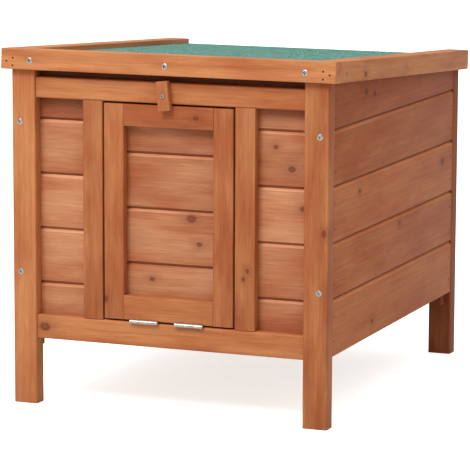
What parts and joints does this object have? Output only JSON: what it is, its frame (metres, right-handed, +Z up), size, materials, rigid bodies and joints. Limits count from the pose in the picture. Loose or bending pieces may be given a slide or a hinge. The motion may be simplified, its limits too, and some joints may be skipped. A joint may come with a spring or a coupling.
{
  "type": "rabbit hutch",
  "caption": "Raised wooden hutch with board walls, a ramp door folding down at the front held by a turn button, and a felted roof that lifts on rear hinges.",
  "frame": {"origin": "on the ground under the middle of the roof's outline", "axes": "+Z up, -Y towards the front with the door, +X towards the right as seen from the front"},
  "size_m": [0.42, 0.5099, 0.4284],
  "materials": {
    "fir_frame": "orange-brown stain, matt",
    "fir_boards": "orange-brown stain, matt",
    "fir_shade": "orange-brown stain, matt",
    "roof_felt": "mineral surfaced roofing felt, green",
    "zinc_plated_steel": "bright zinc plated"
  },
  "bodies": {
    "hutch": {"leg_front_left": "fir_frame", "leg_front_right": "fir_frame", "leg_rear_left": "fir_frame", "leg_rear_right": "fir_frame", "corner_batten_front_left": "fir_boards", "corner_batten_front_right": "fir_boards", "corner_batten_rear_left": "fir_boards", "corner_batten_rear_right": "fir_boards", "front_top_rail": "fir_frame", "front_bottom_rail": "fir_frame", "rear_top_rail": "fir_frame", "rear_bottom_rail": "fir_frame", "mullion_left": "fir_frame", "mullion_right": "fir_frame", "front_boards_left": "fir_boards", "front_boards_right": "fir_boards", "head_board": "fir_boards", "floor_boards": "fir_shade", "floor_cleats": "fir_boards", "leg_screws": "zinc_plated_steel", "door_hinge_fixed_leaves": "zinc_plated_steel", "turn_button_screw": "zinc_plated_steel", "lid_hinge_fixed_leaves": "zinc_plated_steel", "hinge_pins": "zinc_plated_steel", "hinge_fixed_screws": "zinc_plated_steel", "side_board_left_1": "fir_shade", "side_board_left_2": "fir_shade", "side_board_left_3": "fir_shade", "side_board_left_4": "fir_shade", "side_board_left_5": "fir_shade", "side_board_right_1": "fir_shade", "side_board_right_2": "fir_shade", "side_board_right_3": "fir_shade", "side_board_right_4": "fir_shade", "side_board_right_5": "fir_shade", "rear_board_1": "fir_shade", "rear_board_2": "fir_shade", "rear_board_3": "fir_shade", "rear_board_4": "fir_shade", "rear_board_5": "fir_shade"},
    "door": {"door_stile_left": "fir_frame", "door_stile_right": "fir_frame", "door_top_rail": "fir_frame", "door_bottom_rail": "fir_frame", "door_hinge_moving_leaves": "zinc_plated_steel", "door_hinge_moving_screws": "zinc_plated_steel", "door_board_1": "fir_boards", "door_board_2": "fir_boards", "door_board_3": "fir_boards", "door_board_4": "fir_boards"},
    "button": {"turn_button": "fir_frame"},
    "lid": {"roof_rail_front": "fir_frame", "roof_rail_left": "fir_frame", "roof_rail_right": "fir_frame", "roof_rail_rear": "fir_frame", "roof_deck": "fir_boards", "roof_felt": "roof_felt", "roof_screws": "zinc_plated_steel", "lid_hinge_moving_leaves": "zinc_plated_steel", "lid_hinge_moving_screws": "zinc_plated_steel"}
  },
  "joints": [
    {"name": "door_hinge", "type": "hinge", "parent": "hutch", "child": "door", "pos_m": [0, -0.2466, 0.1101], "axis": [1, 0, 0], "range_deg": [0, 112]},
    {"name": "button_pivot", "type": "hinge", "parent": "hutch", "child": "button", "pos_m": [-0.003, -0.2534, 0.38], "axis": [0, 1, 0], "continuous": true},
    {"name": "lid_hinge", "type": "hinge", "parent": "hutch", "child": "lid", "pos_m": [0, 0.2465, 0.3702], "axis": [-1, 0, 0], "range_deg": [0, 95]}
  ]
}
